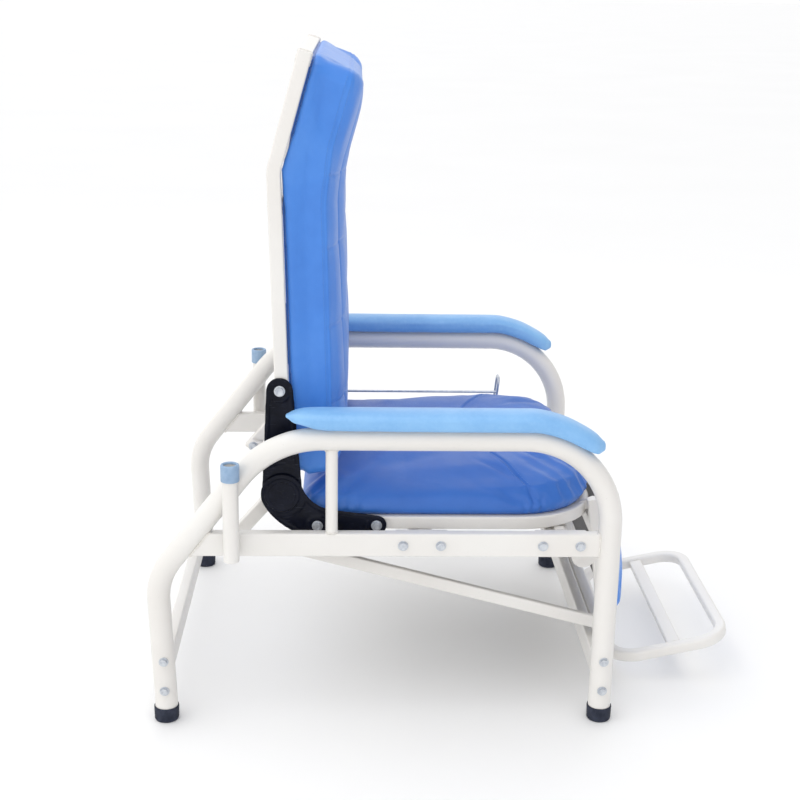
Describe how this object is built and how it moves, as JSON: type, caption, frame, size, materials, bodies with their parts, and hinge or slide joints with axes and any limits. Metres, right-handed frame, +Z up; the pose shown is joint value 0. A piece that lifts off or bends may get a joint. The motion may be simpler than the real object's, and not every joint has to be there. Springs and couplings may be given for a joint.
{
  "type": "patient recliner chair",
  "caption": "Hospital patient recliner with bent tube side frames, a reclining padded back linked to a leg rest, and a folding wire footrest.",
  "frame": {"origin": "on the floor, at the middle of the chair's outer box with the footrest out", "axes": "+X the way the occupant faces, +Y the occupant's left, +Z up"},
  "size_m": [1.022, 0.7476, 1.1039],
  "materials": {
    "paint": "warm white powder coat, semi-gloss",
    "black_steel": "gloss black paint over pressed steel",
    "zinc": "bright zinc plating",
    "vinyl": "mid blue upholstery vinyl with a fine grain",
    "pale_vinyl": "light blue self-skinned foam",
    "rubber": "matte dark navy rubber",
    "cap": "matte grey-blue moulded plastic",
    "plywood": "bare plywood panel"
  },
  "bodies": {
    "base": {"side_frame_right": "paint", "foot_rear_right": "rubber", "foot_front_right": "rubber", "side_rail_right": "paint", "arm_post_right": "paint", "pole_socket_right": "paint", "pole_socket_cap_right": "cap", "arm_pad_right": "pale_vinyl", "arm_pad_strip_right": "paint", "hinge_lower_right": "black_steel", "hinge_bolt_rear_right": "zinc", "hinge_bolt_front_right": "zinc", "side_frame_left": "paint", "foot_rear_left": "rubber", "foot_front_left": "rubber", "side_rail_left": "paint", "arm_post_left": "paint", "pole_socket_left": "paint", "pole_socket_cap_left": "cap", "arm_pad_left": "pale_vinyl", "arm_pad_strip_left": "paint", "hinge_lower_left": "black_steel", "hinge_bolt_rear_left": "zinc", "hinge_bolt_front_left": "zinc", "seat_stand_rear_right": "paint", "seat_stand_rear_left": "paint", "seat_stand_front_right": "paint", "seat_stand_front_left": "paint", "rear_cross_tube": "paint", "front_cross_tube": "paint", "seat_beam_rear": "paint", "seat_beam_front": "paint", "seat_frame": "paint", "seat_board": "plywood", "seat_cushion": "vinyl", "wire_rack": "zinc"},
    "backrest": {"hinge_upper_right": "black_steel", "hinge_bolt_top_right": "zinc", "back_upright_right": "paint", "recline_lever_right": "paint", "lever_bolt_right": "zinc", "hinge_upper_left": "black_steel", "hinge_bolt_top_left": "zinc", "back_upright_left": "paint", "recline_lever_left": "paint", "lever_bolt_left": "zinc", "back_top_bar": "paint", "back_cross_bar_upper": "paint", "back_cross_bar_lower": "paint", "back_board": "plywood", "back_cushion": "vinyl"},
    "rod_right": {"link_rod_right": "paint"},
    "rod_left": {"link_rod_left": "paint"},
    "legrest": {"legrest_frame": "paint", "legrest_board": "plywood", "legrest_pad": "vinyl"},
    "footrest": {"footrest_frame": "paint", "footrest_bar": "paint"}
  },
  "joints": [
    {"name": "recline", "type": "hinge", "parent": "base", "child": "backrest", "pos_m": [-0.28905, 0, 0.392], "axis": [0, -1, 0], "range_deg": [0, 65]},
    {"name": "legrest_lift", "type": "hinge", "parent": "base", "child": "legrest", "pos_m": [0.24095, 0, 0.35], "axis": [0, -1, 0], "range_deg": [0, 48]},
    {"name": "rod_right_swing", "type": "hinge", "parent": "backrest", "child": "rod_right", "pos_m": [-0.37305, -0.2325, 0.3], "axis": [0, -1, 0], "range_deg": [-56, 0]},
    {"name": "rod_left_swing", "type": "hinge", "parent": "backrest", "child": "rod_left", "pos_m": [-0.37305, 0.2325, 0.3], "axis": [0, -1, 0], "range_deg": [-56, 0]},
    {"name": "footrest_fold", "type": "hinge", "parent": "legrest", "child": "footrest", "pos_m": [0.27895, 0, 0.045], "axis": [0, -1, 0], "range_deg": [0, 42]}
  ],
  "couplings": [
    {"joint": "legrest_lift", "follows": "recline", "ratio": 0.7241},
    {"joint": "rod_right_swing", "follows": "recline", "ratio": -0.8471},
    {"joint": "rod_left_swing", "follows": "recline", "ratio": -0.8471}
  ]
}
